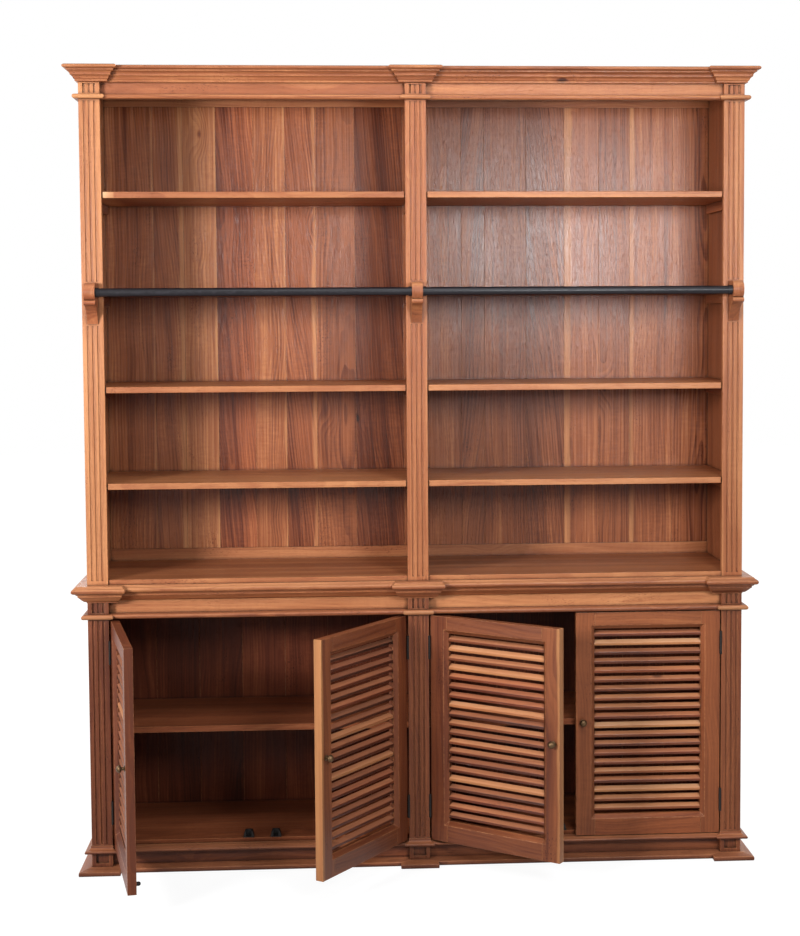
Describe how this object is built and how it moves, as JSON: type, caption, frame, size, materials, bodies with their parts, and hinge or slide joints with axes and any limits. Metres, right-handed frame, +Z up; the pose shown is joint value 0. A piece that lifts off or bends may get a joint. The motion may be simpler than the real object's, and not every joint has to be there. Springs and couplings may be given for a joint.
{
  "type": "library bookcase",
  "caption": "Two-part wooden library bookcase: open shelves with a ladder rail between fluted pilasters, over a cupboard with louvred hinged doors.",
  "frame": {"origin": "on the floor, at the centre of the base's footprint (pilaster faces to the back, side to side)", "axes": "+Z up, the front faces -Y, +X to the right seen from the front"},
  "size_m": [2.054, 0.8713, 2.4],
  "materials": {
    "case_wood": "oiled satin, straight grain along each board",
    "moulding_wood": "oiled satin, grain along the moulding",
    "plank_wood": "oiled satin, mixed dark and pale planks",
    "inside_wood": "oiled, darker inside the cupboard",
    "door_wood": "oiled satin",
    "louvre_wood": "oiled satin, slats of mixed tone",
    "brass": "aged brass",
    "black_iron": "black lacquered steel",
    "rail_black": "satin black rod"
  },
  "bodies": {
    "case": {"base_back": "inside_wood", "base_bead": "moulding_wood", "base_floor": "inside_wood", "base_frieze": "case_wood", "base_frieze_blocks": "case_wood", "base_partition": "inside_wood", "base_pilasters": "case_wood", "base_shelves": "inside_wood", "base_side_left": "case_wood", "base_side_right": "case_wood", "cornice": "moulding_wood", "counter_moulding": "moulding_wood", "counter_top": "moulding_wood", "floor_catches": "black_iron", "frame_hinge_leaves": "black_iron", "ladder_rails": "rail_black", "plinth_blocks": "case_wood", "plinth_boards": "case_wood", "plinth_cap_moulding": "moulding_wood", "plinth_foot_moulding": "moulding_wood", "rail_brackets": "moulding_wood", "rail_collars": "rail_black", "shelf_cleats": "case_wood", "upper_back_planks": "plank_wood", "upper_back_rails": "case_wood", "upper_bead": "moulding_wood", "upper_floor": "case_wood", "upper_frieze": "case_wood", "upper_frieze_blocks": "case_wood", "upper_partition": "case_wood", "upper_pilasters": "case_wood", "upper_shelves_1": "case_wood", "upper_shelves_2": "case_wood", "upper_shelves_3": "case_wood", "upper_shelves_4": "case_wood", "upper_side_left": "case_wood", "upper_side_right": "case_wood", "upper_top": "case_wood"},
    "door_1": {"door_1_stiles": "door_wood", "door_1_rails": "door_wood", "door_1_louvres": "louvre_wood", "door_1_knob": "brass", "door_1_ironwork": "black_iron"},
    "door_2": {"door_2_stiles": "door_wood", "door_2_rails": "door_wood", "door_2_louvres": "louvre_wood", "door_2_knob": "brass", "door_2_ironwork": "black_iron"},
    "door_3": {"door_3_stiles": "door_wood", "door_3_rails": "door_wood", "door_3_louvres": "louvre_wood", "door_3_knob": "brass", "door_3_ironwork": "black_iron"},
    "door_4": {"door_4_stiles": "door_wood", "door_4_rails": "door_wood", "door_4_louvres": "louvre_wood", "door_4_knob": "brass", "door_4_ironwork": "black_iron"}
  },
  "joints": [
    {"name": "door_1_hinge", "type": "hinge", "parent": "case", "child": "door_1", "pos_m": [-0.9215, -0.2188, 0.42], "axis": [0, 0, -1], "range_deg": [-78, 12]},
    {"name": "door_2_hinge", "type": "hinge", "parent": "case", "child": "door_2", "pos_m": [-0.0325, -0.2188, 0.42], "axis": [0, 0, 1], "range_deg": [-55, 35]},
    {"name": "door_3_hinge", "type": "hinge", "parent": "case", "child": "door_3", "pos_m": [0.0325, -0.2188, 0.42], "axis": [0, 0, -1], "range_deg": [-36, 54]},
    {"name": "door_4_hinge", "type": "hinge", "parent": "case", "child": "door_4", "pos_m": [0.9215, -0.2188, 0.42], "axis": [0, 0, 1], "range_deg": [0, 90]}
  ]
}
